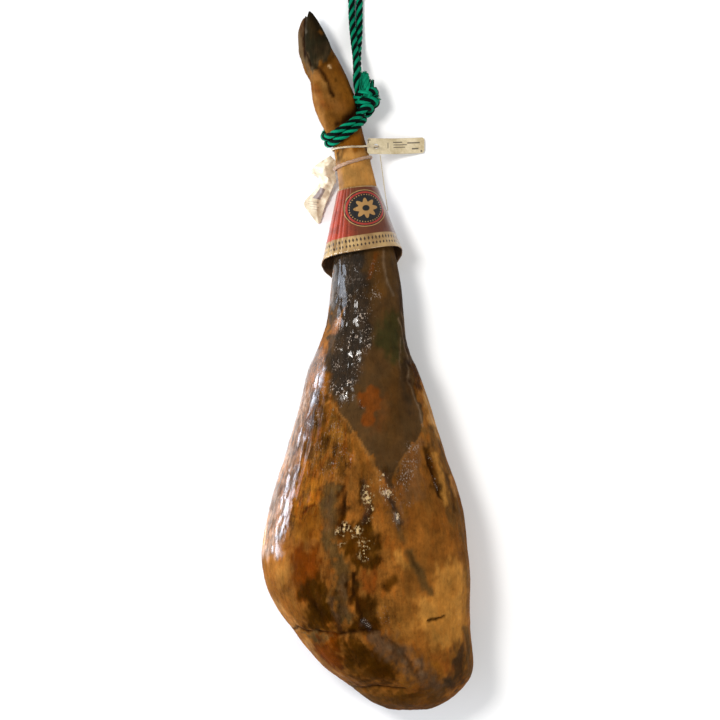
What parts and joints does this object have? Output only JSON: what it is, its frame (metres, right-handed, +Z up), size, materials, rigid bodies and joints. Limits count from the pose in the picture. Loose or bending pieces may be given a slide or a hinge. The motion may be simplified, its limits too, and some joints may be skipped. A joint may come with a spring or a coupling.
{
  "type": "cured ham",
  "caption": "Whole cured ham with its trotter, a rope noose and hanging loop round the leg, a paper cone on the shank and paper tags, lying on its side.",
  "frame": {"origin": "middle of the footprint of the ham, on the surface that it lies on", "axes": "+Y along the leg towards the hoof, +Z up from the floor to the shown side, +X to the side with the rope knot"},
  "size_m": [0.2428, 0.9072, 0.1421],
  "materials": {
    "ham_skin": "greasy, uneven gloss",
    "rope": "laid fibre rope, green and black",
    "glossy_paper": "varnished print",
    "string": "matte twisted fibre",
    "tag_paper": "matte paper"
  },
  "bodies": {
    "root": {"ham": "ham_skin", "rope_noose": "rope", "rope_loop": "rope", "paper_cone": "glossy_paper", "upper_tie": "string", "lower_tie": "string", "card_tag": "tag_paper", "paper_strip": "tag_paper", "thread": "string"}
  },
  "joints": []
}
